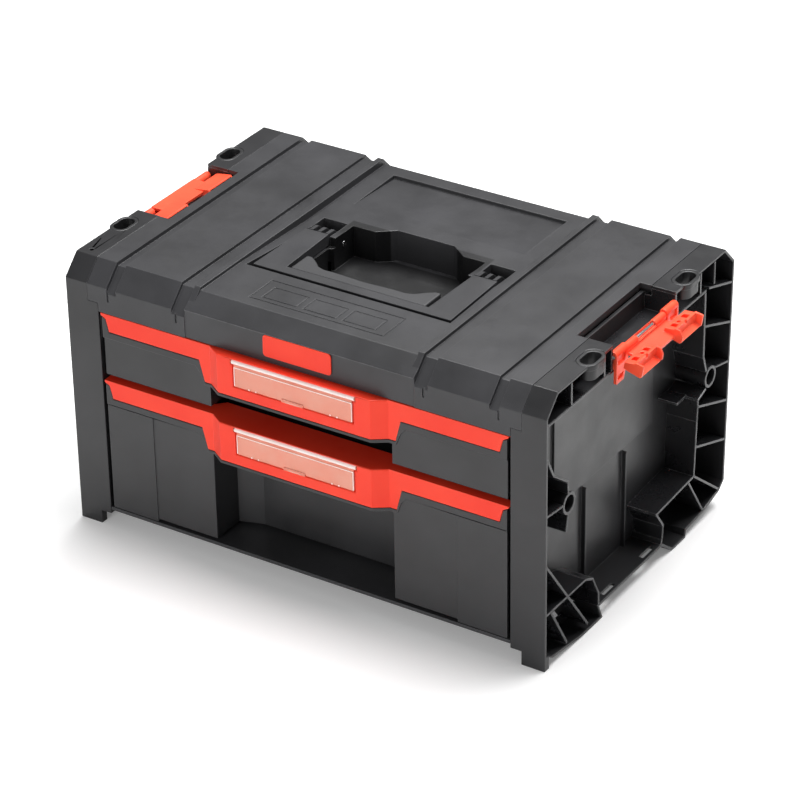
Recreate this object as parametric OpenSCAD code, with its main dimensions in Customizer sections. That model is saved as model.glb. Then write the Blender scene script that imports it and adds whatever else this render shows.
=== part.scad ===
// Portable tool box with two pull-out drawers, a folding carry handle and swinging side latches.
// Millimetres, +Z up, the drawer fronts face -Y. The origin is on the floor, under the middle
// of the overall box, which takes in the right-hand latch standing open.

/* [Body] */
// Width over the two side panels
body_w = 450; // [448:1:456]
// Depth from the front posts to the back edge of the lid
body_d = 302; // [302:1:308]
// Height from the floor to the top of the lid
body_h = 244; // [240:0.5:248]
// Size of the slanted front and back edges of the lid
lid_chamfer = 16.5; // [15:0.5:18]
// Wall thickness of the moulded panels
wall = 2.5; // [2:0.1:2.8]
// Width of each front post, from the drawer opening to the outside
post_w = 31.5; // [30:0.5:32]
// Gap left between two parts that are fastened together
seam = 0.2; // [0.1:0.05:0.3]

/* [Lid] */
// Height of the raised strips over the grooves
relief = 3.5; // [2.5:0.5:4]
// Gap between the lid skirt and the upper drawer's trim
skirt_gap = 0.5; // [0.3:0.1:2]
// Half width of the raised lid strip next to the side panel, inner edge
strip_a = 184; // [182:0.5:186]
// Half distance of the middle strips, inner edge
strip_b = 120; // [118:0.5:122]
// Width of each middle strip
strip_b_w = 55; // [50:1:56]
// Half width of the centre plate
plate_half = 107.5; // [106:0.5:109]
// Depth of the finger well below the lid top
well_depth = 35; // [30:0.5:36]

/* [Drawers] */
// Depth of the upper drawer's top edge below the lid top
trim_drop = 40.5; // [40:0.1:42]
// Height difference between the two drawer trims
drawer_pitch = 62.3; // [62:0.1:63]
// Gap between the lower drawer's top edge and the upper drawer's underside
tier_gap = 5.3; // [5:0.1:8]
// Gap between the base and the lower drawer's underside
floor_gap = 2.3; // [2.2:0.1:4]
// Gap between a drawer front and the posts beside it
front_play = 3; // [2:0.5:5]
// Room for a runner between a drawer's basket and the side panel
runner_room = 6.1; // [6:0.1:8]
// How far the middle of the trim stands out in front of the posts
bulge = 8; // [6:0.5:9]
// Depth of the hand space under the trim
hand_depth = 40; // [36:1:44]

/* [Carry handle] */
// Distance from the hinge to the front edge of the handle
handle_reach = 88; // [86:0.5:90]
// Depth of the handle hinge pin below the lid top
hinge_drop = 17; // [16.5:0.1:17.5]
// Radius of the handle hinge pins
hinge_pin_r = 2.6; // [2.2:0.1:3]

/* [Side latches] */
// Half length of the notch for the latch
notch_half = 50; // [49.5:0.5:52]
// Depth of the notch below the lid top
notch_depth = 22; // [21.5:0.5:23]
// Distance of the latch pin inside the side face
latch_inset = 0.3; // [0:0.1:1]
// Height of the latch pin above the notch floor
latch_pin_rise = 10.5; // [10:0.1:11]
// Radius of the latch pin
latch_pin_r = 1.6; // [1.4:0.1:1.8]

/* [Fits] */
// Radial clearance of a pin in the part that turns on it
run_fit = 0.06; // [0.04:0.01:0.09]

/* [Hidden] */
$fn = 64;
half_w = body_w / 2;
front_y = -body_d / 2;
back_y = body_d / 2;
inner_x = half_w - post_w;
lid_x = inner_x + 10 - seam;
lid_in = relief + 3;
lean = 4.8;
lid_foot_z = body_h - 32;
fascia_step = 0.8;
plate_t = 3.5;
rib_t = 2;
boss_y = back_y - 36;
boss_z = 136;
boss_r = 9.5;
boss_bore_r = 7;
slot_x = half_w - 5;
slot_y = 76;
slot_bulge = 9;
slot_wall_r = 8;
socket_z = body_h - 14;
clip_reach = 26.6;
clip_half = notch_half - 1;
clip_droop = 9;
clip_top = 3.4;
clip_tip = (clip_reach - clip_top * sin(clip_droop)) / cos(clip_droop);
hook_length = 34;
latch_bar_r = 3.6;
latch_ear = 18.7;
latch_end = notch_half - 0.3;
latch_tube = latch_end - latch_ear - 0.4;
latch_pin_x = half_w - latch_inset;
notch_z = body_h - notch_depth;
latch_pin_z = notch_z + latch_pin_rise;
window_tab = 1.2;
mid_x = (latch_pin_x + clip_reach - slot_x - slot_bulge) / 2;
mid_y = (back_y + front_y - bulge - window_tab) / 2;
well_z = body_h - well_depth;
notch_wall = notch_z - wall / 2;
rib_slit = 0.15;
rear_foot_y = back_y - 83;
front_foot_y = front_y + 76;
base_top = 19.2;
trim_top = body_h - trim_drop;
lower_top = trim_top - drawer_pitch;
skirt_z = trim_top + skirt_gap;
upper_floor_z = lower_top + tier_gap;
lower_floor_z = base_top + floor_gap;
front_half = inner_x - front_play;
basket_half = inner_x - runner_room;
trim_half = front_half + 1.5;
drawer_back = back_y - 11;
hinge_z = body_h - hinge_drop;
recess_z = hinge_z + 2;
pit_z = hinge_z - 7.5;
picture_y = front_y + 27;
hinge_y = 14;
handle_front = hinge_y - handle_reach;
handle_top = body_h - 4;
recess_front = handle_front - 5;
label_rod_z = 3.3;
label_rod_y = front_y - bulge + 1.8;
label_rod_r = 2;
peg_r = 1.1;
block_y = front_y + 1.5;
recess_back_y = front_y + hand_depth;

charcoal = [0.13, 0.13, 0.14];
dark = [0.10, 0.10, 0.11];
red = [0.93, 0.20, 0.13];
orange = [0.95, 0.25, 0.13];
steel = [0.75, 0.75, 0.77];
card = [0.93, 0.86, 0.83];
clear = [1.0, 0.55, 0.50, 0.45];

// ---- drawing helpers ----

// Extrudes a Y-Z outline along X
module along_x(x0, x1) {
    translate([x0, 0, 0]) rotate([90, 0, 90]) linear_extrude(x1 - x0) children();
}

// Extrudes an X-Z outline along Y
module along_y(y0, y1) {
    translate([0, y1, 0]) rotate([90, 0, 0]) linear_extrude(y1 - y0) children();
}

// Extrudes an X-Y outline along Z
module along_z(z0, z1) {
    translate([0, 0, z0]) linear_extrude(z1 - z0) children();
}

// Box between two corners
module span_box(a, b) {
    translate(a) cube(b - a);
}

// Both halves of something mirrored left to right
module both_sides() {
    children();
    mirror([1, 0, 0]) children();
}

// Both halves of something mirrored front to back
module both_ends() {
    children();
    mirror([0, 1, 0]) children();
}

// Straight wall between two points of an outline, longer by a at its start and b at its end
module strut(p, q, t, a, b) {
    d = q - p;
    translate(p) rotate(atan2(d[1], d[0])) translate([-a, -t / 2]) square([norm(d) + a + b, t]);
}

// Walls along a row of points, with a fine slit at each bend
module wall_path(pts, t) {
    last = len(pts) - 2;
    for (i = [0 : last]) difference() {
        strut(pts[i], pts[i + 1], t, 0, i < last ? t / 2 : 0);
        if (i > 0) strut(pts[i - 1], pts[i], t + 2 * rib_slit, 0, t / 2 + rib_slit);
    }
}

function flipped(pts) = [for (i = [len(pts) - 1 : -1 : 0]) pts[i]];
function mirrored(pts) = [for (i = [len(pts) - 1 : -1 : 0]) [-pts[i][0], pts[i][1]]];

// Moves a piece from the body's own middle to the origin
module placed() {
    translate([-mid_x, -mid_y, 0]) children();
}

// ---- side panels ----

// Y-Z outline of the lid's upper edge, sunk by d all over
function lid_edge(d) = [
    [front_y, body_h - lid_chamfer - 1.414 * d],
    [front_y + lid_chamfer + 0.414 * d, body_h - d],
    [back_y - lid_chamfer - 0.414 * d, body_h - d],
    [back_y, body_h - lid_chamfer - 1.414 * d]
];

// The same edge pulled in from the front and back faces as well
function lid_edge_in(d, t) = [
    [front_y + t, body_h - lid_chamfer - 1.414 * d + t],
    [front_y + lid_chamfer + 0.414 * d, body_h - d],
    [back_y - lid_chamfer - 0.414 * d, body_h - d],
    [back_y - t, body_h - lid_chamfer - 1.414 * d + t]
];

// Lower outline of a side panel from the back corner to the front foot
side_foot_out = [
    [back_y - lean, 21.5], [back_y - 13.2, 14.5], [back_y - 39.4, 8.8], [rear_foot_y + 13, 6.5],
    [rear_foot_y + 12, 0], [rear_foot_y - 12, 0], [rear_foot_y - 30, 13.7],
    [front_foot_y + 10, 13.7], [front_foot_y + 16, 0], [front_foot_y - 16, 0],
    [front_y + 13, 6.4], [front_y + 7, 10], [front_y + 7, 0], [front_y, 0]
];

side_foot_in = [
    [back_y - lean - wall, 22.7], [back_y - 14.1, 17], [back_y - 39.7, 11.3],
    [rear_foot_y + 10.8, 8.8], [rear_foot_y + 9.8, wall], [rear_foot_y - 11, wall],
    [rear_foot_y - 29, 16.2], [front_foot_y + 6.5, 16.2], [front_foot_y + 12.4, wall],
    [front_foot_y - 15.8, wall], [front_y + 13.3, 9], [front_y + wall, 12.6]
];

module side_rim() {
    difference() {
        polygon(concat(lid_edge(0), side_foot_out));
        polygon(concat(lid_edge_in(wall, wall), side_foot_in));
    }
}

// Walls round the side recess, thickened by 2 g
module recess_walls(g) {
    wall_path([[front_y + 1, notch_wall], [boss_y - 13, notch_wall], [boss_y - 13, boss_z + 25],
        [boss_y - 7, boss_z + 8]], wall + 2 * g);
    wall_path([[boss_y - 7, boss_z - 8], [boss_y - 20, boss_z - 12], [boss_y - 21, 105],
        [boss_y - 23.5, 53], [rear_foot_y - 40, 49.5], [rear_foot_y - 28, 33],
        [rear_foot_y - 29, 21], [rear_foot_y - 32, 14]], rib_t + 2 * g);
    wall_path([[front_foot_y + 9, 14], [front_foot_y + 8.5, 27.5], [front_foot_y - 1, 45.4],
        [front_foot_y - 12, 50.5], [front_y + 1, 51.3]], rib_t + 2 * g);
}

// Ribs that tie the rim to the walls of the side recess
module cross_ribs() {
    wall_path([[front_y + 1, 97.3], [front_foot_y - 8, 7]], rib_t);
    wall_path([[front_y + 10, 50], [front_y + 35, 8]], rib_t);
    wall_path([[front_y + 1, boss_z + 57.5], [front_y + 12, boss_z + 36.8],
        [front_y + 34, boss_z + 20.4], [-boss_y - 1, boss_z + 7]], rib_t);
    wall_path([[front_y + 1, boss_z + 5], [-boss_y - 7, boss_z + 2]], rib_t);
    wall_path([[-boss_y - 1, boss_z - 7], [-boss_y - 4, boss_z - 24]], rib_t);
    wall_path([[boss_y - 7.2, notch_z - 1], [back_y - 1.5, notch_z - 14]], rib_t);
    wall_path([[boss_y - 13, boss_z + 52.5], [back_y - 2.2, boss_z + 35.4]], rib_t);
    wall_path([[boss_y + 7, boss_z + 5.2], [back_y - 3, boss_z - 1]], rib_t);
    wall_path([[boss_y - 20, 117.3], [back_y - 4, 98.5]], rib_t);
    wall_path([[boss_y - 22, 80], [back_y - 4.8, 61.5]], rib_t);
    wall_path([[boss_y - 23.5, 53], [back_y - 12.5, 16]], rib_t);
    wall_path([[boss_y - 33.4, 52.7], [back_y - 40, 8.5]], rib_t);
    for (y = [2 - boss_y, -62.5, 93, boss_y + 2]) wall_path([[y, notch_wall], [y, body_h - 1]], rib_t);
    for (y = [-notch_half - 1.25, notch_half + 1.25]) wall_path([[y, notch_wall], [y, body_h - 1]], wall);
}

module side_ribs() {
    recess_walls(0);
    difference() {
        cross_ribs();
        recess_walls(rib_slit);
    }
}

// Clear space round the two sockets on the recess wall, r in radius
module boss_room(r) {
    for (s = [-1, 1]) {
        translate([inner_x + plate_t, s * boss_y, boss_z]) rotate([0, 90, 0]) cylinder(h = 40, r = r);
    }
}

// Oblong hole for a stacking hook, drawn in plan
module slot_outline(r, l) {
    translate([slot_x, slot_y]) {
        square([2 * r, l - 2 * r], center = true);
        for (s = [-1, 1]) translate([0, s * (l / 2 - r)]) circle(r);
    }
}

// Right-hand side panel with its deep ribbed recess
module side_panel() {
    difference() {
        union() {
            // inner plate beside the drawers
            along_x(inner_x, inner_x + plate_t)
                polygon(concat(lid_edge_in(lid_in + seam, 3 + seam), side_foot_out));
            // rim below the lid, reaching the drawer opening
            intersection() {
                along_x(inner_x, half_w) side_rim();
                span_box([0, front_y - 1, -1], [half_w + 1, back_y + 1, lid_foot_z - seam]);
            }
            // rim beside the lid
            along_x(lid_x + seam, half_w) side_rim();
            // raised field and upright ribs on the recess wall
            span_box([inner_x + 1, -94, 110], [inner_x + plate_t + 2, 65, 190]);
            for (y = [19, -46]) {
                span_box([inner_x + 1, y - 1, 15], [inner_x + plate_t + 4, y + 1, 106]);
            }
            // floor of the foot
            along_x(lid_x + seam, half_w) polygon([[front_y, 0], [front_y + 7, 0],
                [front_y + 7, 12], [front_y, 12]]);
        }
        both_ends() along_z(body_h - 6, body_h + 1) slot_outline(slot_bulge, 28);
        // latch notch
        span_box([inner_x + plate_t, -notch_half, notch_z], [half_w + 1, notch_half, body_h + 1]);
        span_box([inner_x - 1, -notch_half, body_h - lid_in - seam], [half_w + 1, notch_half, body_h + 1]);
        // inner foot stops short of the floor
        span_box([inner_x - 1, front_y - 1, -1], [lid_x + seam, front_foot_y + 18, 12.4]);
        span_box([inner_x - 1, rear_foot_y - 28, -1], [lid_x + seam, rear_foot_y + 14, 8.8]);
        // drain holes in the recess floor
        for (y = [21, -43]) {
            span_box([half_w - 7, y - 9, 12], [half_w - 3, y + 9, 18]);
        }
    }
}

module left_side_panel() {
    placed() color(charcoal) difference() {
        mirror([1, 0, 0]) side_panel();
        translate([-half_w + 10, front_y + 24.5, body_h - 5]) cylinder(h = 6, r = 2);
    }
}

module right_side_panel() {
    placed() color(charcoal) side_panel();
}

// Web of ribs between the rim and the recess of a side panel
module side_web() {
    difference() {
        union() {
            along_x(inner_x + plate_t, lid_x + seam) intersection() {
                side_ribs();
                polygon(concat(lid_edge_in(lid_in + seam + wall, 3 + seam), side_foot_in));
            }
            along_x(lid_x + seam, half_w) intersection() {
                side_ribs();
                polygon(concat(lid_edge_in(wall, wall), side_foot_in));
            }
            // shelf behind the recess
            span_box([inner_x + plate_t, boss_y - 38, boss_z - boss_r - 2],
                [inner_x + plate_t + 18, boss_y - 21.3, boss_z - boss_r]);
        }
        boss_room(boss_r);
        both_ends() along_z(socket_z, body_h + 1) slot_outline(slot_wall_r, 25);
        both_ends() along_z(body_h - 5, body_h + 1) slot_outline(slot_bulge, 28);
        span_box([inner_x + plate_t, -notch_half, notch_z], [half_w + 1, notch_half, body_h + 1]);
    }
}

module left_side_web() {
    placed() color(charcoal) mirror([1, 0, 0]) side_web();
}

module right_side_web() {
    placed() color(charcoal) side_web();
}

// Four open slots in the lid's edges for the hooks of a box stacked on top
module stack_sockets() {
    placed() color(charcoal) both_sides() both_ends() difference() {
        union() {
            along_z(body_h - 5, body_h) slot_outline(slot_bulge, 28);
            along_z(socket_z, body_h) slot_outline(slot_wall_r, 25);
        }
        along_z(socket_z - 1, body_h + 1) slot_outline(6, 21);
    }
}

// Four open sockets for side accessories, two standing out of each recess
module side_bosses() {
    placed() color(charcoal) both_sides() difference() {
        for (s = [-1, 1]) {
            translate([inner_x + plate_t, s * boss_y, boss_z]) rotate([0, 90, 0])
                cylinder(h = post_w - plate_t, r = boss_r);
        }
        boss_room(boss_bore_r);
    }
}

// ---- lid ----

// Part of the lid shell between two X values, sunk by d
module lid_band(x0, x1, d) {
    along_x(x0, x1) polygon(concat(
        [[front_y, lid_foot_z]], lid_edge(d), [[back_y, lid_foot_z], [back_y - 3, lid_foot_z]],
        flipped(lid_edge_in(lid_in, 3)), [[front_y + 3, lid_foot_z]]));
}

// Y-Z outline of the centre plate, sloping down behind the handle
plate_top = [
    [front_y, body_h - 14.5], [front_y + lid_chamfer, body_h - 3], [recess_front, body_h - 3],
    [16, body_h - 7], [56, body_h - 6.8], [back_y - 14, body_h - 6], [back_y, body_h - 19]
];

module centre_plate() {
    along_x(-plate_half, plate_half) polygon(concat(
        [[front_y, lid_foot_z]], plate_top, [[back_y, lid_foot_z], [back_y - 3, lid_foot_z],
        [back_y - 3, body_h - 22], [back_y - 16, body_h - 12.5], [front_y + 17, body_h - 12.5],
        [front_y + 3.8, body_h - 22], [front_y + 3.8, lid_foot_z]]));
}

well_half = [
    [67, handle_front + 8], [67, -4], [63.3, -1.5], [63.3, 28], [42, 28], [27, 39.5]
];

// Outline of the finger well, grown by g
module well_outline(g) {
    pts = [for (p = well_half) [p[0] + g, p[1] + (p[1] < 0 ? -g : g)]];
    polygon(concat(pts, mirrored(pts)));
}

// Bare pictogram frames on the centre plate
module pictogram_frame(x0, x1, y0, y1) {
    difference() {
        span_box([x0, y0, body_h - 3.5], [x1, y1, body_h]);
        span_box([x0 + 0.8, y0 + 0.8, body_h - 4], [x1 - 0.8, y1 - 0.8, body_h + 1]);
    }
}

module hinge_bores(r, x0, x1) {
    both_sides() translate([x0, hinge_y, hinge_z]) rotate([0, 90, 0]) cylinder(h = x1 - x0, r = r);
}

module top_panel() {
    placed() color(charcoal) difference() {
        union() {
            both_sides() lid_band(plate_half - 1, lid_x, relief);
            both_sides() lid_band(strip_a, lid_x, 0);
            both_sides() lid_band(strip_b, strip_b + strip_b_w, 0.5);
            centre_plate();
            both_sides() along_x(102, plate_half) polygon(concat(
                [[front_y + 1, body_h - 16]], lid_edge(0.2), [[back_y - 1, body_h - 22]]));
            // skirt above the upper drawer
            span_box([-inner_x + seam, front_y, skirt_z], [inner_x - seam, front_y + 3.8, lid_foot_z + 1]);
            // tray under the handle
            span_box([-99, recess_front - 2.5, recess_z - 2.5], [99, 30.5, body_h - 8]);
            both_sides() span_box([62, -6.5, pit_z - 2.5], [98, 30.5, body_h - 8]);
            along_z(well_z - 2.5, body_h - 8) well_outline(2.5);
        }
        // handle recess
        along_z(recess_z, body_h + 1) polygon([[-96.5, recess_front], [96.5, recess_front],
            [91.5, 1], [-91.5, 1]]);
        both_sides() span_box([69, -4, pit_z], [92, 28, body_h + 1]);
        along_z(well_z, body_h + 1) well_outline(0);
        hinge_bores(hinge_pin_r + 0.03, 62, 96.1);
        // sloping field behind the well
        along_x(-84, 84) polygon([[56, body_h - 6.8], [back_y - 28, body_h - 9.5],
            [back_y - 28, body_h], [56, body_h]]);
        // latch notches
        both_sides() span_box([inner_x - seam, -notch_half - seam, lid_foot_z - 7],
            [half_w, notch_half + seam, body_h + 1]);
        // short ends of the grooves on the front face
        for (x = [strip_a - 1.8, strip_b - 5]) {
            both_sides() span_box([x, front_y - 1, body_h - 28.5], [x + 1.8, front_y + 1.2, body_h - 14]);
        }
        // face under the centre plate, set back below its slanted edge
        span_box([-plate_half, front_y - 1, skirt_z - 1],
            [plate_half, front_y + fascia_step, body_h - 14.8]);
        pictogram_frame(-63, 63, picture_y, picture_y + 33);
        for (x = [[-54, -21], [-15.5, 16], [21.5, 52.5]]) {
            pictogram_frame(x[0], x[1], picture_y + 5, picture_y + 24);
        }
    }
}

// Plain plate with rounded corners
module name_badge() {
    placed() color(red) along_y(front_y - 0.6, front_y + fascia_step) translate([0, body_h - 24.8]) {
        square([64, 13], center = true);
        square([58, 19], center = true);
        for (x = [-29, 29], z = [-6.5, 6.5]) translate([x, z]) circle(3);
    }
}

module back_panel() {
    placed() color(charcoal) along_x(-inner_x + seam, inner_x - seam) polygon([
        [back_y - 0.35, lid_foot_z - seam], [back_y - lean, base_top + seam],
        [back_y - lean - 2.8, base_top + seam], [back_y - 3.15, lid_foot_z - seam]]);
}

module base_panel() {
    placed() color(charcoal) union() {
        span_box([-inner_x + seam, front_y + 0.2, 16], [inner_x - seam, back_y - lean, base_top]);
        for (x = [-120, -60, 0, 60, 120]) {
            span_box([x - 1, front_y + 6, 13.7], [x + 1, back_y - 12, 16.5]);
        }
    }
}

module drawer_runners() {
    placed() color(dark) for (t = [trim_top, lower_top]) {
        both_sides() span_box([basket_half + 0.6, front_y + 9, t - 12.4],
            [inner_x - seam, drawer_back + 1, t - 7.3]);
    }
}

// ---- drawers ----

// Plan line of a drawer front, set back by ds at the sides and dc in the middle
function front_line(ds, dc, w) = [
    [-w, front_y + ds], [-84, front_y + ds], [-72, front_y - bulge + dc],
    [72, front_y - bulge + dc], [84, front_y + ds], [w, front_y + ds]
];

// Curved plate between two such lines
module front_shell(s0, c0, s1, c1, w) {
    polygon(concat(front_line(s0, c0, w), flipped(front_line(s1, c1, w))));
}

// Hand space under the trim, drawn in plan
module hand_space(g) {
    polygon([[-86 - g, front_y - 12], [86 + g, front_y - 12], [86 + g, recess_back_y - 7 + g],
        [65 + g, recess_back_y + g], [-65 - g, recess_back_y + g],
        [-86 - g, recess_back_y - 7 + g]]);
}

// Space in a drawer front for the low middle of the trim
module trim_room(t) {
    along_y(front_y - 12, front_y + 3.2) polygon([[-90.1, t - 35.2], [90.1, t - 35.2],
        [95.1, t - 16.2], [95.1, t], [-95.1, t], [-95.1, t - 16.2]]);
}

module drawer_tub(t, zb, proud) {
    lip = [[front_half, t - 22.5], [99, t - 22.5], [94.5, t - 27.5], [90.5, t - 38]];
    lip_top = [[90.1, t - 35.2], [95.1, t - 16.2]];
    // the lip turns up round the end of the trim
    lip_end = [[trim_half - 7.8, t - 16.2], [trim_half - 6.5, t - 10.5], [trim_half - 4.8, t - 4.6],
        [front_half, t - 3.2]];
    difference() {
        union() {
            // basket behind the front
            difference() {
                span_box([-basket_half, block_y, zb], [basket_half, drawer_back, t - 3.7]);
                along_z(zb + wall, t) difference() {
                    translate([-basket_half + wall, block_y + 3])
                        square([2 * (basket_half - wall), drawer_back - wall - block_y - 3]);
                    hand_space(wall);
                }
                along_z(zb - 1, t - 8) hand_space(0);
                // room for the trim and its backing
                along_z(t - 16.2, t) translate([-front_half, front_y - 12]) square([2 * front_half, 15.2]);
                trim_room(t);
            }
            // flanges that ride on the runners
            both_sides() span_box([basket_half - 1, front_y + 5, t - 7], [front_half, drawer_back, t - 4]);
            // front blocks
            difference() {
                both_sides() span_box([86, block_y, zb], [front_half, block_y + 3, t - 16.2]);
                trim_room(t);
            }
            if (proud > 0) {
                both_sides() span_box([145, block_y - 1, zb - proud], [front_half, block_y + 2, t - 22]);
            }
            // lip under the trim
            intersection() {
                along_z(zb, t) front_shell(0, 0, 5.7, 8.1, front_half);
                along_y(front_y - 12, front_y + 8) polygon(concat(lip_end, lip, mirrored(lip),
                    mirrored(lip_end), mirrored(lip_top), lip_top));
            }
            // backing behind the trim and roof over the hand space
            intersection() {
                along_z(zb, t - 3.2) front_shell(3.2, 5.6, 5.7, 8.1, front_half);
                along_y(front_y - 12, front_y + 8) polygon(concat([[front_half, t]], lip,
                    mirrored(lip), [[-front_half, t]]));
            }
            along_z(t - 8, t - 5.5) polygon(concat(front_line(3.2, 5.6, 88.5),
                [[88.5, recess_back_y + 2], [-88.5, recess_back_y + 2]]));
        }
        // the trim needs the top edge of the basket clear
        along_z(t - 3.2, t + 1) translate([-200, front_y - 12]) square([400, 34]);
    }
}

module upper_drawer_tub() {
    placed() color(charcoal) drawer_tub(trim_top, upper_floor_z, 0);
}

module lower_drawer_tub() {
    placed() color(charcoal) drawer_tub(lower_top, lower_floor_z, 2);
}

module label_swing(r, x) {
    translate([-x, label_rod_y, -label_rod_z]) rotate([0, 90, 0]) cylinder(h = 2 * x, r = r);
}

module drawer_trim(t) {
    half_plan = [[trim_half, front_y + 10], [96, front_y + 10], [84, front_y + 22]];
    half_face = [[90, t - 35], [95, t - 16], [trim_half - 8, t - 16], [trim_half - 6.7, t - 10.5],
        [trim_half - 5, t - 4.5], [trim_half - 0.4, t - 2], [trim_half, t]];
    difference() {
        intersection() {
            union() {
                along_z(t - 36, t) front_shell(0, 0, 3, 5.4, trim_half);
                along_z(t - 3, t)
                    polygon(concat(front_line(0, 0, trim_half), half_plan, mirrored(half_plan)));
            }
            along_y(front_y - 12, front_y + 30) polygon(concat(half_face, mirrored(half_face)));
        }
        // pocket for the card and window
        span_box([-57, front_y - bulge - 1, t - 25.6], [57, front_y - bulge + 2.4, t - 3]);
        translate([0, 0, t]) label_swing(label_rod_r + 0.35, 58.8);
        translate([0, 0, t]) label_swing(peg_r + run_fit, 61);
        span_box([-58.8, front_y - bulge - 1, t - label_rod_z - 2.3],
            [58.8, label_rod_y, t - label_rod_z + 2.1]);
    }
}

module upper_drawer_trim() {
    placed() color(red) drawer_trim(trim_top);
}

module lower_drawer_trim() {
    placed() color(red) drawer_trim(lower_top);
}

module label_card(t) {
    span_box([-55, front_y - bulge + 1.7, t - 24.6], [55, front_y - bulge + 2.3, t - 8.5]);
}

module upper_label_card() {
    placed() color(card) label_card(trim_top);
}

module lower_label_card() {
    placed() color(card) label_card(lower_top);
}

// Clear flap hanging from the rod along its top edge
module label_window(t) {
    union() {
        translate([0, 0, t]) label_swing(label_rod_r, 58.3);
        translate([0, 0, t]) label_swing(peg_r, 60.6);
        span_box([-55.5, front_y - bulge + 0.1, t - 24.9], [55.5, front_y - bulge + 1.3, t - label_rod_z]);
        span_box([-10.3, front_y - bulge - window_tab, t - 24.9], [10.3, front_y - bulge + 1, t - 22.4]);
    }
}

module upper_label_window() {
    placed() color(clear) label_window(trim_top);
}

module lower_label_window() {
    placed() color(clear) label_window(lower_top);
}

// ---- carry handle ----

handle_u = [
    [93.2, handle_front], [91.3, 0.5], [69.4, 0.5], [67, handle_front + 10]
];

module handle_frame() {
    placed() color(charcoal) difference() {
        union() {
            along_z(hinge_z + 3, handle_top) polygon(concat(handle_u, mirrored(handle_u)));
            // tongue inside the grip
            span_box([-58, handle_front + 9, handle_top - 8], [58, handle_front + 20, handle_top - 4]);
            // hinge tabs
            for (x = [70.4, 78, 85.8]) {
                both_sides() along_x(x, x + 3.4) translate([hinge_y, hinge_z]) union() {
                    circle(6.3);
                    polygon([[-16, 4], [-16, handle_top - hinge_z - 0.6], [-3, handle_top - hinge_z - 1],
                        [5.5, 4], [0, 0], [-5.6, -2.8]]);
                }
            }
        }
        hinge_bores(hinge_pin_r + run_fit, 68, 93);
    }
}

// X-Y outline of the grip's wavy back edge, measured from the front of the handle
grip_back = [
    [63.6, 34], [58, 33.8], [52, 29.5], [45, 23], [38, 20.6], [26, 20.8], [16, 20.4], [0, 19.4]
];

module handle_grip() {
    front = [[63.6, 10 + seam]];
    placed() color(dark) difference() {
        translate([0, handle_front, 0]) along_z(handle_top - 15, handle_top)
            polygon(concat(front, grip_back, mirrored(grip_back), mirrored(front)));
        span_box([-58.1, handle_front + 8.9, handle_top - 8.1],
            [58.1, handle_front + 20.1, handle_top - 3.9]);
    }
}

module handle_pins() {
    placed() color(steel) hinge_bores(hinge_pin_r, 63, 96);
}

// ---- side latches ----

// Ears that carry the latch pin, hooked over the ends of the notch
module latch_bracket() {
    bar_x = latch_pin_x + latch_bar_r;
    ear_y = latch_end - latch_ear;
    difference() {
        both_ends() union() {
            translate([latch_pin_x, latch_end, latch_pin_z + 1.4]) rotate([90, 0, 0])
                cylinder(h = latch_ear, r = latch_bar_r);
            along_y(ear_y, latch_end) polygon([
                [latch_pin_x - 5.5, notch_z + seam], [bar_x, notch_z + seam],
                [bar_x, latch_pin_z + 1.4], [latch_pin_x - latch_bar_r, latch_pin_z + 1.4],
                [latch_pin_x - latch_bar_r, latch_pin_z - 3]]);
            // gusset on the outside of the panel
            along_x(half_w + 0.4, bar_x) polygon([
                [ear_y, notch_z + 7], [latch_end - 11.7, notch_z - 12.5],
                [latch_end, notch_z - 12.5], [latch_end, notch_z + 7]]);
        }
        // pockets in the outer face
        both_ends() along_x(bar_x - 1.8, bar_x + 1) {
            polygon([[ear_y + 3, notch_z + 11], [ear_y + 5.5, notch_z + 3.5],
                [latch_end - 2.5, notch_z + 3.5], [latch_end - 2.5, notch_z + 11]]);
            polygon([[latch_end - 10.2, notch_z - 9.5], [latch_end - 2.5, notch_z - 9.5],
                [latch_end - 2.5, notch_z - 5], [latch_end - 11.2, notch_z - 5]]);
        }
        translate([latch_pin_x, 60, latch_pin_z]) rotate([90, 0, 0])
            cylinder(h = 120, r = latch_pin_r + 0.03);
    }
}

module latch_pin() {
    translate([latch_pin_x, notch_half - 0.5, latch_pin_z]) rotate([90, 0, 0])
        cylinder(h = 2 * notch_half - 1, r = latch_pin_r);
}

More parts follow.
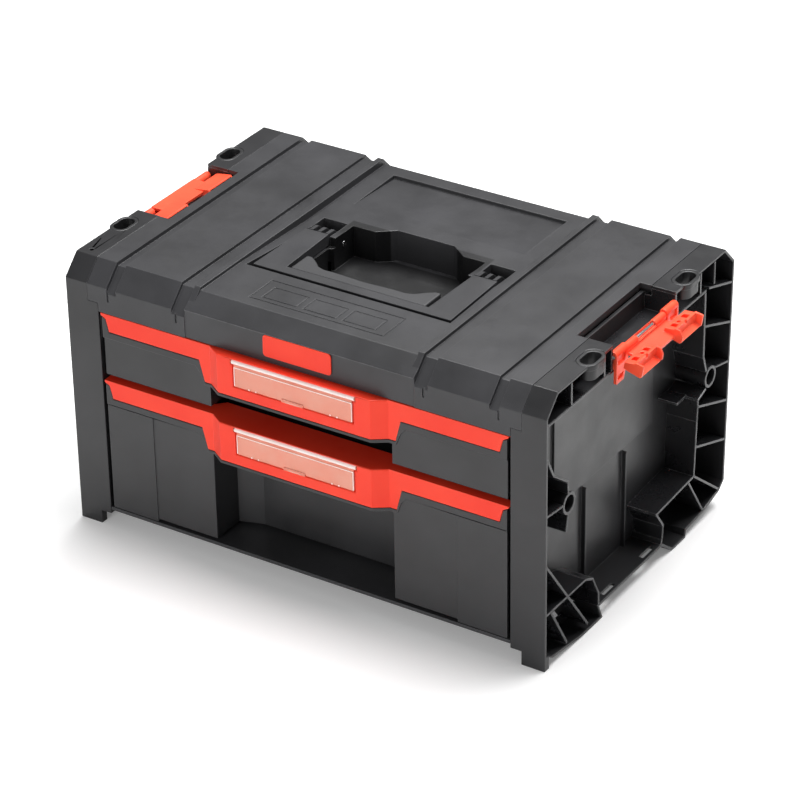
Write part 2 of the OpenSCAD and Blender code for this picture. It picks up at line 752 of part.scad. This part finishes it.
// Swinging clip, drawn level with its pin axis on Y through the origin
module latch_clip() {
    hook_y = clip_half - hook_length;
    difference() {
        union() {
            rotate([90, 0, 0]) translate([0, 0, -latch_tube]) cylinder(h = 2 * latch_tube, r = 3.2);
            // plate from the tube to the hooks
            along_z(-5.6, -3) polygon([[-1.5, -latch_tube], [11, -latch_tube], [11, -hook_y - 1],
                [19.5, -hook_y - 1], [19.5, hook_y + 1], [11, hook_y + 1], [11, latch_tube],
                [-1.5, latch_tube]]);
            span_box([-1.5, -latch_tube, -5.6], [3, latch_tube, -1.5]);
            // hooks at both ends, with open pockets that face outwards
            both_ends() along_y(hook_y, clip_half) polygon([[9.8, -5.6], [13, -6.4],
                [clip_tip - 1.5, -8.1], [clip_tip, -6.4], [clip_tip, clip_top], [19, clip_top],
                [17.5, 2.2], [9.8, 0.4]]);
        }
        rotate([90, 0, 0]) translate([0, 0, -latch_tube - 1])
            cylinder(h = 2 * latch_tube + 2, r = latch_pin_r + run_fit);
        // window over the pin
        span_box([-2.2, -14.2, -0.4], [3.8, 14.2, 5]);
        both_ends() {
            along_y(hook_y + 1.8, clip_half - 1.8) polygon([[20, clip_top + 1],
                [clip_tip + 1, clip_top + 1], [clip_tip + 1, -6.9], [clip_tip - 0.4, -6.9],
                [20, -5.2]]);
            // outer corner of the inner end wall cut back
            along_y(hook_y - 1, hook_y + 1.8) polygon([[22.5, clip_top + 1],
                [clip_tip + 1, clip_top + 1], [clip_tip + 1, -3]]);
            // moulding gaps in the top of a hook
            span_box([12, hook_y + 5, -2.4], [17, hook_y + 10, 5]);
            span_box([12, clip_half - 12, -2.4], [17, clip_half - 6, 5]);
            translate([14.5, hook_y + 14.5, -2.4]) cylinder(h = 8, r = 1.6);
            span_box([17.5, clip_half - 19, 0], [21, clip_half - 16, 5]);
        }
    }
}

module left_latch_bracket() {
    placed() color(orange) mirror([1, 0, 0]) latch_bracket();
}

module right_latch_bracket() {
    placed() color(orange) latch_bracket();
}

module left_latch_pin() {
    placed() color(steel) mirror([1, 0, 0]) latch_pin();
}

module right_latch_pin() {
    placed() color(steel) latch_pin();
}

module left_latch_clip() {
    placed() color(orange) translate([-latch_pin_x, 0, latch_pin_z]) mirror([1, 0, 0])
        rotate([0, 180, 0]) latch_clip();
}

module right_latch_clip() {
    placed() color(orange) translate([latch_pin_x, 0, latch_pin_z]) rotate([0, clip_droop, 0])
        latch_clip();
}

left_side_panel();
right_side_panel();
top_panel();
back_panel();
base_panel();
left_side_web();
right_side_web();
side_bosses();
stack_sockets();
drawer_runners();
name_badge();
handle_frame();
handle_grip();
handle_pins();
upper_drawer_tub();
upper_drawer_trim();
upper_label_card();
upper_label_window();
lower_drawer_tub();
lower_drawer_trim();
lower_label_card();
lower_label_window();
left_latch_bracket();
left_latch_pin();
left_latch_clip();
right_latch_bracket();
right_latch_pin();
right_latch_clip();
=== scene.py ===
import math

import bmesh
import bpy
from mathutils import Matrix, Vector


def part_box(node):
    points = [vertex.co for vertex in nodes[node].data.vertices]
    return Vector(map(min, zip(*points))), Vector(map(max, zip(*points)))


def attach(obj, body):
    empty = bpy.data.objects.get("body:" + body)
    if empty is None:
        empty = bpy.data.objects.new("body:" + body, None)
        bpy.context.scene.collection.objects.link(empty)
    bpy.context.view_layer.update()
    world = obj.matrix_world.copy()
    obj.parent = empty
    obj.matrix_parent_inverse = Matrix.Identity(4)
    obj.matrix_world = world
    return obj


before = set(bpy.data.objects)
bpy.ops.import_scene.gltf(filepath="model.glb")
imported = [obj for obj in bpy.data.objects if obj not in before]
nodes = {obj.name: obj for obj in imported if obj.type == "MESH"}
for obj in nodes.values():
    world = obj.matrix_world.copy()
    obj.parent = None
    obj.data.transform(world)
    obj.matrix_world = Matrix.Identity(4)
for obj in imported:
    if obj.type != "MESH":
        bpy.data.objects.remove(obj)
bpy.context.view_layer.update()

# ---------------------------------------------------------------- camera

# Solved from the straight edges of the box in the photograph, in metres and for a square frame
CAMERA_PLACE = Vector((1.34426, -2.09744, 1.54318))
AZIMUTH = math.radians(32.864)
ELEVATION = math.radians(29.911)
ROLL = math.radians(-0.978)
FOCAL_PIXELS = 3490.44
FRAME_PIXELS = 800
SENSOR_MM = 36.0
CLIP_NEAR = 0.1
CLIP_FAR = 20


def make_camera():
    """A camera at the photograph's viewing angle."""
    back = Vector((math.sin(AZIMUTH) * math.cos(ELEVATION),
                   -math.cos(AZIMUTH) * math.cos(ELEVATION), math.sin(ELEVATION)))
    right = Vector((0, 0, 1)).cross(back).normalized()
    up = back.cross(right)
    right, up = (right * math.cos(ROLL) + up * math.sin(ROLL),
                 up * math.cos(ROLL) - right * math.sin(ROLL))
    data = bpy.data.cameras.new("camera")
    data.sensor_width = SENSOR_MM
    data.lens = FOCAL_PIXELS * SENSOR_MM / FRAME_PIXELS
    data.clip_start, data.clip_end = CLIP_NEAR, CLIP_FAR
    camera = bpy.data.objects.new("camera", data)
    bpy.context.scene.collection.objects.link(camera)
    turn = Matrix((right, up, back)).transposed().to_4x4()
    camera.matrix_world = Matrix.Translation(CAMERA_PLACE) @ turn
    bpy.context.scene.camera = camera


make_camera()

# ---------------------------------------------------------------- material nodes


class Nodes:
    """A material's node tree, with short calls for the nodes used here."""

    def __init__(self, name):
        self.material = bpy.data.materials.new(name)
        self.material.use_nodes = True
        self.tree = self.material.node_tree
        self.shader = self.tree.nodes["Principled BSDF"]
        self.place = self.add("ShaderNodeTexCoord").outputs["Object"]

    def add(self, kind, **settings):
        node = self.tree.nodes.new(kind)
        for key, value in settings.items():
            setattr(node, key, value)
        return node

    def link(self, source, target):
        self.tree.links.new(source, target)

    def noise(self, scale, detail=3.0, rough=0.5, stretch=None):
        node = self.add("ShaderNodeTexNoise")
        node.inputs["Scale"].default_value = scale
        node.inputs["Detail"].default_value = detail
        node.inputs["Roughness"].default_value = rough
        place = self.place
        if stretch:
            mapping = self.add("ShaderNodeMapping")
            mapping.inputs["Scale"].default_value = stretch
            self.link(place, mapping.inputs["Vector"])
            place = mapping.outputs["Vector"]
        self.link(place, node.inputs["Vector"])
        return node.outputs["Fac"]

    def ramp(self, value, low, high, out_low=0.0, out_high=1.0):
        node = self.add("ShaderNodeMapRange")
        node.inputs["From Min"].default_value = low
        node.inputs["From Max"].default_value = high
        node.inputs["To Min"].default_value = out_low
        node.inputs["To Max"].default_value = out_high
        self.link(value, node.inputs["Value"])
        return node.outputs["Result"]

    def times(self, one, two):
        node = self.add("ShaderNodeMath", operation="MULTIPLY")
        self.link(one, node.inputs[0])
        self.link(two, node.inputs[1])
        return node.outputs["Value"]

    def mix(self, factor, one, two):
        node = self.add("ShaderNodeMix", data_type="RGBA")
        self.link(factor, node.inputs["Factor"])
        for socket, colour in ((node.inputs["A"], one), (node.inputs["B"], two)):
            if isinstance(colour, tuple):
                socket.default_value = (*colour, 1)
            else:
                self.link(colour, socket)
        return node.outputs["Result"]

    def bump(self, height, strength, distance, under=None):
        node = self.add("ShaderNodeBump")
        node.inputs["Strength"].default_value = strength
        node.inputs["Distance"].default_value = distance
        self.link(height, node.inputs["Height"])
        if under:
            self.link(under, node.inputs["Normal"])
        return node.outputs["Normal"]


# ---------------------------------------------------------------- moulded plastics

# Noise scales are in waves per metre, reaches and bump distances in metres
CLOUD_SCALE = 14
SCUFF_SCALE = 55
SCUFF_STRETCH = (1, 3.2, 1)
SCUFF_SHARE = 0.35
EDGE_BREAKUP_SCALE = 160
EDGE_BREAKUP_LEAST, EDGE_BREAKUP_MOST = 0.3, 0.9
EDGE_REACH = 0.0012
EDGE_FLAT, EDGE_SHARP = 0.97, 0.75
SHEEN_SCALE = 30
SHEEN_DOWN, SHEEN_UP = 0.06, 0.08
SINK_SCALE = 9
SINK_STRENGTH, SINK_DISTANCE = 0.25, 0.0015
FACET_SCALE = 26
FACET_STRETCH = (1, 1, 0.02)
FACET_DISTANCE = 0.002
SPARK_SCALE = 1900
SPARK_DISTANCE = 0.00012
COLOURED_SPECULAR = 0.3

# Boxes of painted shade over the lid's finger well and right latch notch, as low and high
# corners in metres
LID_PAINTED_SHADE_BOXES = (((-0.0790, -0.0420, 0.2050), (0.0560, 0.0400, 0.2370)),
               ((0.1800, -0.0520, 0.2100), (0.2150, 0.0620, 0.2395)))
PAINTED_SHADE_FADE = 0.0006
# near-black colour of the painted shade inside those boxes
PAINTED_SHADE = (0.004, 0.004, 0.0045)

CHARCOAL = (0.025, 0.025, 0.0268)
CHARCOAL_LIGHT = (0.038, 0.038, 0.0415)
# pale edge colour: part wear, part painted highlight
CHARCOAL_WEAR_AND_HIGHLIGHT = (0.10, 0.10, 0.105)
SIDE = (0.016, 0.016, 0.017)
SIDE_LIGHT = (0.025, 0.025, 0.027)
TUB = (0.019, 0.019, 0.020)
TUB_LIGHT = (0.028, 0.028, 0.030)
RIB = (0.010, 0.010, 0.011)
RIB_LIGHT = (0.016, 0.016, 0.018)
# pale edge colour of the ribs: part wear, mostly painted highlight
RIB_WEAR_AND_HIGHLIGHT = (0.40, 0.40, 0.41)
SOCKET = (0.012, 0.012, 0.013)
SOCKET_LIGHT = (0.020, 0.020, 0.021)
RUNNER = (0.02, 0.02, 0.021)
RUNNER_LIGHT = (0.026, 0.026, 0.028)
RUBBER = (0.028, 0.028, 0.030)
RUBBER_LIGHT = (0.042, 0.042, 0.045)
RED = (0.90, 0.036, 0.014)
RED_LIGHT = (0.95, 0.055, 0.022)
# pale edge colour: part wear, part painted highlight
RED_WEAR_AND_HIGHLIGHT = (1.0, 0.17, 0.10)
ORANGE = (0.98, 0.075, 0.034)
ORANGE_LIGHT = (1.0, 0.12, 0.055)
# pale edge colour: part wear, part painted highlight
ORANGE_WEAR_AND_HIGHLIGHT = (1.0, 0.26, 0.15)


def edge_wear_and_highlight_mask(m, radius):
    """1 along sharp outer edges, where handling wears the surface and a highlight is painted on,
    and 0 elsewhere.
    """
    soft = m.add("ShaderNodeBevel", samples=4)
    soft.inputs["Radius"].default_value = radius
    flat = m.add("ShaderNodeNewGeometry").outputs["Normal"]
    product = m.add("ShaderNodeVectorMath", operation="DOT_PRODUCT")
    m.link(soft.outputs["Normal"], product.inputs[0])
    m.link(flat, product.inputs[1])
    return m.ramp(product.outputs["Value"], EDGE_FLAT, EDGE_SHARP)


def inside_box(m, low, high, fade):
    """1 inside a box given in metres, fading to 0 outside it."""
    parts = m.add("ShaderNodeSeparateXYZ")
    m.link(m.place, parts.inputs["Vector"])
    mask = None
    for axis, least, most in zip("XYZ", low, high):
        offset = m.add("ShaderNodeMath", operation="SUBTRACT")
        m.link(parts.outputs[axis], offset.inputs[0])
        offset.inputs[1].default_value = (least + most) / 2
        size = m.add("ShaderNodeMath", operation="ABSOLUTE")
        m.link(offset.outputs["Value"], size.inputs[0])
        half = (most - least) / 2
        near = m.ramp(size.outputs["Value"], half + fade, half)
        mask = m.times(mask, near) if mask else near
    return mask


def moulded(name, colour, light, rough, grain, edge_wear_and_highlight=None, streak=0.0, shade_boxes=()):
    """Injection-moulded plastic: fine spark grain, cloudy tone, scuffs, and paler edges that are
    part wear and part painted highlight.

    streak adds the faint upright facets of a deep moulding. Inside the boxes it is given, the
    tone is darkened with painted shade.
    """
    m = Nodes(name)
    cloud = m.noise(CLOUD_SCALE, 4, 0.6)
    tone = m.mix(m.ramp(cloud, 0.35, 0.7), colour, light)
    scuff = m.noise(SCUFF_SCALE, 6, 0.7, stretch=SCUFF_STRETCH)
    tone = m.mix(m.ramp(scuff, 0.60, 0.74, 0, SCUFF_SHARE), tone, light)
    # paler edges: part wear, part painted highlight
    if edge_wear_and_highlight:
        edge_breakup = m.noise(EDGE_BREAKUP_SCALE, 4, 0.7)
        edge_breakup = m.ramp(edge_breakup, 0.35, 0.65, EDGE_BREAKUP_LEAST, EDGE_BREAKUP_MOST)
        tone = m.mix(m.times(edge_wear_and_highlight_mask(m, EDGE_REACH), edge_breakup), tone, edge_wear_and_highlight)
    # painted shade: the tone turns near black inside each box
    for low, high in shade_boxes:
        tone = m.mix(inside_box(m, low, high, PAINTED_SHADE_FADE), tone, PAINTED_SHADE)
    m.link(tone, m.shader.inputs["Base Color"])
    sheen = m.noise(SHEEN_SCALE, 5, 0.65)
    m.link(m.ramp(sheen, 0.3, 0.7, rough - SHEEN_DOWN, rough + SHEEN_UP),
           m.shader.inputs["Roughness"])
    relief = m.bump(m.noise(SINK_SCALE, 2, 0.5), SINK_STRENGTH, SINK_DISTANCE)
    if streak:
        facets = m.noise(FACET_SCALE, 1, 0.4, stretch=FACET_STRETCH)
        relief = m.bump(facets, streak, FACET_DISTANCE, under=relief)
    relief = m.bump(m.noise(SPARK_SCALE, 2, 0.6), grain, SPARK_DISTANCE, under=relief)
    m.link(relief, m.shader.inputs["Normal"])
    return m.material


charcoal = moulded("charcoal_plastic", CHARCOAL, CHARCOAL_LIGHT, 0.42, 0.4, CHARCOAL_WEAR_AND_HIGHLIGHT)
lid_black = moulded("lid_plastic", CHARCOAL, CHARCOAL_LIGHT, 0.42, 0.4, CHARCOAL_WEAR_AND_HIGHLIGHT,
                    shade_boxes=LID_PAINTED_SHADE_BOXES)
side_black = moulded("side_plastic", SIDE, SIDE_LIGHT, 0.34, 0.3, CHARCOAL_WEAR_AND_HIGHLIGHT)
tub_black = moulded("drawer_plastic", TUB, TUB_LIGHT, 0.36, 0.4, CHARCOAL_WEAR_AND_HIGHLIGHT, streak=0.5)
rib_black = moulded("rib_plastic", RIB, RIB_LIGHT, 0.28, 0.3, RIB_WEAR_AND_HIGHLIGHT)
well_black = moulded("socket_plastic", SOCKET, SOCKET_LIGHT, 0.40, 0.3, CHARCOAL_WEAR_AND_HIGHLIGHT)
runner_black = moulded("runner_plastic", RUNNER, RUNNER_LIGHT, 0.5, 0.2)
red = moulded("red_plastic", RED, RED_LIGHT, 0.34, 0.15, RED_WEAR_AND_HIGHLIGHT)
orange = moulded("orange_plastic", ORANGE, ORANGE_LIGHT, 0.36, 0.15, ORANGE_WEAR_AND_HIGHLIGHT)
rubber = moulded("grip_rubber", RUBBER, RUBBER_LIGHT, 0.55, 0.5)
for coloured in (red, orange):
    shader = coloured.node_tree.nodes["Principled BSDF"]
    shader.inputs["Specular IOR Level"].default_value = COLOURED_SPECULAR

# ---------------------------------------------------------------- steel, card and windows

BRUSH_SCALE = 420
BRUSH_STRETCH = (1, 0.03, 1)
BRUSH_DISTANCE = 0.0001
STEEL = (0.80, 0.80, 0.81)
STEEL_LIGHT = (0.95, 0.95, 0.96)
FIBRE_SCALE = 700
FIBRE_DISTANCE = 0.0001
PAPER_SCALE = 40
PAPER = (0.90, 0.78, 0.73)
PAPER_LIGHT = (0.97, 0.88, 0.84)
PAPER_FIBRE = (0.86, 0.68, 0.62)
HAZE_SCALE = 60
RIPPLE_SCALE = 120
RIPPLE_DISTANCE = 0.0003
PEACH = (1.0, 0.36, 0.24)
PEACH_LIGHT = (1.0, 0.45, 0.32)
# pale colour of the beads and of the painted highlight on the rod
BEAD_AND_HIGHLIGHT = (1.0, 0.84, 0.80)
BEAD_AND_HIGHLIGHT_LIGHT = (1.0, 0.95, 0.93)


def make_steel():
    """Polished pins with a fine brushed grain."""
    m = Nodes("polished_steel")
    brush = m.noise(BRUSH_SCALE, 4, 0.6, stretch=BRUSH_STRETCH)
    m.link(m.mix(m.ramp(brush, 0.3, 0.7), STEEL, STEEL_LIGHT), m.shader.inputs["Base Color"])
    m.link(m.ramp(brush, 0.3, 0.7, 0.16, 0.32), m.shader.inputs["Roughness"])
    m.shader.inputs["Metallic"].default_value = 1
    m.link(m.bump(brush, 0.15, BRUSH_DISTANCE), m.shader.inputs["Normal"])
    return m.material


def make_card():
    """Pale matt card with fibres and a cloudy tone."""
    m = Nodes("label_card")
    fibre = m.noise(FIBRE_SCALE, 5, 0.7)
    cloud = m.noise(PAPER_SCALE, 3, 0.6)
    paper = m.mix(m.ramp(cloud, 0.3, 0.7), PAPER, PAPER_LIGHT)
    m.link(m.mix(m.ramp(fibre, 0.3, 0.75, 0, 0.4), paper, PAPER_FIBRE),
           m.shader.inputs["Base Color"])
    m.shader.inputs["Roughness"].default_value = 0.8
    m.link(m.bump(fibre, 0.4, FIBRE_DISTANCE), m.shader.inputs["Normal"])
    return m.material


def make_tinted(name, colour, light, rough, alpha):
    """Slightly cloudy plastic that lets what lies behind show through."""
    m = Nodes(name)
    haze = m.noise(HAZE_SCALE, 4, 0.6)
    m.link(m.mix(m.ramp(haze, 0.3, 0.7), colour, light), m.shader.inputs["Base Color"])
    m.link(m.ramp(haze, 0.35, 0.7, rough, rough + 0.12), m.shader.inputs["Roughness"])
    m.shader.inputs["Alpha"].default_value = alpha
    m.link(m.bump(m.noise(RIPPLE_SCALE, 2, 0.5), 0.12, RIPPLE_DISTANCE),
           m.shader.inputs["Normal"])
    return m.material


steel = make_steel()
label_card = make_card()
clear = make_tinted("clear_plastic", PEACH, PEACH_LIGHT, 0.14, 0.5)
# pale pieces: bright beads, and a painted highlight on the rod
bead_and_highlight = make_tinted("bead_and_highlight_plastic", BEAD_AND_HIGHLIGHT, BEAD_AND_HIGHLIGHT_LIGHT, 0.22, 0.92)

# ---------------------------------------------------------------- finish of the CAD pieces

FINISH = {
    "left_side_panel": side_black, "right_side_panel": side_black, "top_panel": lid_black,
    "back_panel": charcoal, "base_panel": charcoal, "left_side_web": rib_black,
    "right_side_web": rib_black, "side_bosses": rib_black, "stack_sockets": well_black,
    "drawer_runners": runner_black,
    "name_badge": red, "handle_frame": charcoal, "handle_grip": rubber, "handle_pins": steel,
    "upper_drawer_tub": tub_black, "upper_drawer_trim": red,
    "upper_label_card": label_card, "upper_label_window": clear,
    "lower_drawer_tub": tub_black, "lower_drawer_trim": red,
    "lower_label_card": label_card, "lower_label_window": clear,
    "left_latch_bracket": orange, "left_latch_pin": steel, "left_latch_clip": orange,
    "right_latch_bracket": orange, "right_latch_pin": steel, "right_latch_clip": orange,
}

# Rounding of the moulded edges, in metres
EDGE = {
    "left_side_panel": 0.0006, "right_side_panel": 0.0006, "top_panel": 0.0005,
    "back_panel": 0.0005, "base_panel": 0.0005, "side_bosses": 0.0004, "drawer_runners": 0.0004,
    "left_side_web": 0.0005, "right_side_web": 0.0005, "stack_sockets": 0.0008,
    "name_badge": 0.0005, "handle_frame": 0.0008, "handle_grip": 0.0012, "handle_pins": 0.0004,
    "upper_drawer_tub": 0.0007, "lower_drawer_tub": 0.0007,
    "upper_drawer_trim": 0.0008, "lower_drawer_trim": 0.0008,
    "upper_label_window": 0.0003, "lower_label_window": 0.0003,
    "left_latch_bracket": 0.0006, "right_latch_bracket": 0.0006,
    "left_latch_clip": 0.0006, "right_latch_clip": 0.0006,
}
WELD_REACH = 1e-6
SHARP_ANGLE = math.radians(28)
FLAT_WEIGHT = 80


def soften(piece, width):
    """Rounds a moulded piece's sharp edges, leaving its flat faces flat."""
    weld = piece.modifiers.new("weld", "WELD")
    weld.merge_threshold = WELD_REACH
    bevel = piece.modifiers.new("bevel", "BEVEL")
    bevel.width = width
    bevel.segments = 2
    bevel.limit_method = "ANGLE"
    bevel.angle_limit = SHARP_ANGLE
    bevel.use_clamp_overlap = False
    bevel.harden_normals = False
    shade = piece.modifiers.new("shade", "WEIGHTED_NORMAL")
    shade.keep_sharp = True
    shade.weight = FLAT_WEIGHT


for name, piece in nodes.items():
    piece.data.materials.clear()
    piece.data.materials.append(FINISH[name])
    if name in EDGE:
        soften(piece, EDGE[name])

# ---------------------------------------------------------------- new pieces


def make_piece(name, shape, material):
    """Turns a finished shape into an object of that name and material."""
    bmesh.ops.recalc_face_normals(shape, faces=shape.faces)
    mesh = bpy.data.meshes.new(name)
    shape.to_mesh(mesh)
    shape.free()
    piece = bpy.data.objects.new(name, mesh)
    bpy.context.scene.collection.objects.link(piece)
    mesh.materials.append(material)
    return piece


def join_rings(shape, one, two):
    """Faces between two closed rings of as many points."""
    for step in range(len(one)):
        after = (step + 1) % len(one)
        shape.faces.new((one[step], one[after], two[after], two[step]))


# ---------------------------------------------------------------- label windows

# Sizes in metres, on the front of a label window
WINDOW_HALF = 0.0555
TAB_DEPTH = 0.0013
BEAD_WIDTH = 0.0007
BEAD_PROUD = 0.00025
BEAD_SUNK = 0.0003
BEAD_ROUND = 0.0001
PULL_HALF = 0.0065
PULL_HEIGHT = 0.0008
PULL_INSET = 0.0001
ROD_DROP = 0.0020
ROD_LINE_DROP = 0.0043
ROD_DEPTH = 0.0030
ROD_RADIUS = 0.0020
ROD_SKIN = 0.0001
ROD_HALF = 0.0575
# arc of the rod's front, in degrees, that the painted highlight covers
ROD_HIGHLIGHT_ARC = (-70, 80)
ROD_STEPS = 12
DOTS = (-0.0415, -0.0350, 0.0350, 0.0415)
DOT_RADIUS = 0.0008
DOT_RISE = 0.0008
DOT_SUNK = 0.0001
DOT_SHARE = 0.6
DOT_RINGS = 4
DOT_STEPS = 16


def add_bar(shape, low, high):
    """A straight bar between two corners, with rounded edges."""
    made = bmesh.ops.create_cube(shape, size=1.0)["verts"]
    low, high = Vector(low), Vector(high)
    for vertex in made:
        vertex.co = low + Vector([(c + 0.5) * s for c, s in zip(vertex.co, high - low)])
    edges = {edge for vertex in made for edge in vertex.link_edges}
    bmesh.ops.bevel(shape, geom=list(edges), offset=BEAD_ROUND, segments=2, affect="EDGES")


def add_dot(shape, x, y, z):
    """A low round pip that stands out towards -Y."""
    rings = []
    for ring in range(DOT_RINGS):
        lean = math.radians(90) * ring / DOT_RINGS
        reach, rise = DOT_RADIUS * math.cos(lean), DOT_SHARE * DOT_RADIUS * math.sin(lean)
        turns = [math.tau * step / DOT_STEPS for step in range(DOT_STEPS)]
        rings.append([shape.verts.new((x + reach * math.cos(turn), y - rise,
                                       z + reach * math.sin(turn))) for turn in turns])
    top = shape.verts.new((x, y - DOT_SHARE * DOT_RADIUS, z))
    for lower, upper in zip(rings, rings[1:]):
        join_rings(shape, lower, upper)
    for step in range(DOT_STEPS):
        shape.faces.new((rings[-1][step], rings[-1][(step + 1) % DOT_STEPS], top))
    shape.faces.new(list(reversed(rings[0])))


def add_rod_highlight(shape, middle, depth, height):
    """A painted highlight on the rod: a thin pale shell round its front."""
    low, high = (math.radians(angle) for angle in ROD_HIGHLIGHT_ARC)
    leans = [low + (high - low) * step / ROD_STEPS for step in range(ROD_STEPS + 1)]
    outline = [(ROD_RADIUS + ROD_SKIN, lean) for lean in leans]
    outline += [(ROD_RADIUS - ROD_SKIN, lean) for lean in reversed(leans)]
    ends = [[shape.verts.new((middle + side * ROD_HALF, depth - reach * math.cos(lean),
                              height + reach * math.sin(lean))) for reach, lean in outline]
            for side in (-1, 1)]
    join_rings(shape, *ends)
    last = len(outline) - 1
    for step in range(ROD_STEPS):
        for end in ends:
            shape.faces.new((end[step], end[step + 1], end[last - step - 1], end[last - step]))


def make_beads_and_rod_highlight(level):
    """The bright moulded lines, pips and pull edge on a label window, and a painted highlight on
    its rod.
    """
    low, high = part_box(level + "_label_window")
    middle = (low[0] + high[0]) / 2
    face = low[1] + TAB_DEPTH
    near, far = face - BEAD_PROUD, face + BEAD_SUNK
    rod = high[2] - ROD_DROP
    line_top = rod - ROD_LINE_DROP + BEAD_WIDTH / 2
    line_foot = line_top - BEAD_WIDTH
    shape = bmesh.new()
    for side in (-1, 1):
        edge = middle + side * (WINDOW_HALF - BEAD_WIDTH / 2)
        add_bar(shape, (edge - BEAD_WIDTH / 2, near, low[2] + BEAD_WIDTH),
                (edge + BEAD_WIDTH / 2, far, line_foot))
    add_bar(shape, (middle - WINDOW_HALF, near, line_foot),
            (middle + WINDOW_HALF, far, line_top))
    add_bar(shape, (middle - PULL_HALF, low[1] + PULL_INSET, low[2] + PULL_INSET),
            (middle + PULL_HALF, face, low[2] + PULL_HEIGHT))
    # a pale shell on the rod's front paints its highlight
    add_rod_highlight(shape, middle, low[1] + ROD_DEPTH, rod)
    for place in DOTS:
        add_dot(shape, middle + place, face + DOT_SUNK, low[2] + DOT_RISE)
    piece = make_piece(level + "_window_beads_and_highlight", shape, bead_and_highlight)
    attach(piece, level + "_label_flap")


make_beads_and_rod_highlight("upper")
make_beads_and_rod_highlight("lower")

# ---------------------------------------------------------------- inner walls of the feet

# Sizes in metres from the body's middle: how far out the walls stand, and their Y-Z outlines
BODY_MIDDLE = (-0.01115, 0.0046)
FOOT_WALL = (0.2022, 0.2034)
FOOT_OUTLINES = (
    ((-0.1380, 0.0066), (-0.0910, 0.0002), (-0.0591, 0.0002), (-0.0644, 0.0123),
     (-0.1440, 0.0123), (-0.1440, 0.0100)),
    ((0.0810, 0.0066), (0.0810, 0.0087), (0.0446, 0.0087), (0.0561, 0.0002), (0.0799, 0.0002)),
)


def make_foot_walls(name, side):
    """The thin walls that close the feet of one side towards the drawers."""
    shape = bmesh.new()
    for outline in FOOT_OUTLINES:
        faces = [[shape.verts.new((BODY_MIDDLE[0] + side * x, BODY_MIDDLE[1] + y, z))
                  for y, z in outline] for x in FOOT_WALL]
        join_rings(shape, *faces)
        for face in faces:
            shape.faces.new(face)
    piece = make_piece(name, shape, rib_black)
    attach(piece, "case")


make_foot_walls("left_foot_walls", -1)
make_foot_walls("right_foot_walls", 1)

# ---------------------------------------------------------------- studio

WHITE = (1, 1, 1, 1)
FLOOR_HALF = 1.4
FLOOR_SCALE = 3
FLOOR_TONE = (0.90, 0.90, 0.90)
FLOOR_TONE_LIGHT = (0.92, 0.92, 0.92)
FLOOR_ROUGH = 0.9
FLOOR_SPECULAR = 0.1
FLOOR_LIFT = 0.16
SKY_STRENGTH = 0.22
# Name, place and aim in metres, width and height in metres, power in watts
LAMPS = (
    ("overhead", (0.1, 0.6, 2.2), (0, 0, 0.1), 2.0, 1.5, 90),
    ("front_fill", (-0.1, -2.8, 0.9), (0, 0, 0.12), 1.3, 1.1, 32),
)


def make_floor():
    """A pale floor that keeps the shadow."""
    mesh = bpy.data.meshes.new("floor")
    corners = ((-1, -1), (1, -1), (1, 1), (-1, 1))
    mesh.from_pydata([(x * FLOOR_HALF, y * FLOOR_HALF, 0) for x, y in corners],
                     [], [(0, 1, 2, 3)])
    floor = bpy.data.objects.new("floor", mesh)
    bpy.context.scene.collection.objects.link(floor)
    m = Nodes("floor_white")
    speck = m.noise(FLOOR_SCALE, 2, 0.5)
    m.link(m.mix(m.ramp(speck, 0.3, 0.7), FLOOR_TONE, FLOOR_TONE_LIGHT),
           m.shader.inputs["Base Color"])
    m.shader.inputs["Roughness"].default_value = FLOOR_ROUGH
    m.shader.inputs["Specular IOR Level"].default_value = FLOOR_SPECULAR
    # lifts the floor to white for the eye alone, so that it lights nothing
    m.shader.inputs["Emission Color"].default_value = WHITE
    m.link(m.ramp(m.add("ShaderNodeLightPath").outputs["Is Camera Ray"], 0, 1, 0, FLOOR_LIFT),
           m.shader.inputs["Emission Strength"])
    floor.data.materials.append(m.material)


def make_light(name, place, aim, width, height, power):
    """A soft rectangular lamp turned towards a point."""
    data = bpy.data.lights.new(name, "AREA")
    data.shape = "RECTANGLE"
    data.size, data.size_y = width, height
    data.energy = power
    lamp = bpy.data.objects.new(name, data)
    bpy.context.scene.collection.objects.link(lamp)
    lamp.location = place
    lamp.rotation_euler = (Vector(place) - Vector(aim)).to_track_quat("Z", "Y").to_euler()


def make_world():
    """A dim white sky that looks white to the camera."""
    world = bpy.data.worlds.new("studio")
    world.use_nodes = True
    tree = world.node_tree
    back = tree.nodes["Background"]
    back.inputs["Color"].default_value = WHITE
    back.inputs["Strength"].default_value = SKY_STRENGTH
    seen = tree.nodes.new("ShaderNodeBackground")
    seen.inputs["Color"].default_value = WHITE
    seen.inputs["Strength"].default_value = 1.0
    path = tree.nodes.new("ShaderNodeLightPath")
    mix = tree.nodes.new("ShaderNodeMixShader")
    tree.links.new(path.outputs["Is Camera Ray"], mix.inputs["Fac"])
    tree.links.new(back.outputs["Background"], mix.inputs[1])
    tree.links.new(seen.outputs["Background"], mix.inputs[2])
    tree.links.new(mix.outputs["Shader"], tree.nodes["World Output"].inputs["Surface"])
    bpy.context.scene.world = world


make_floor()
for lamp in LAMPS:
    make_light(*lamp)
make_world()
bpy.context.scene.view_settings.view_transform = "Standard"
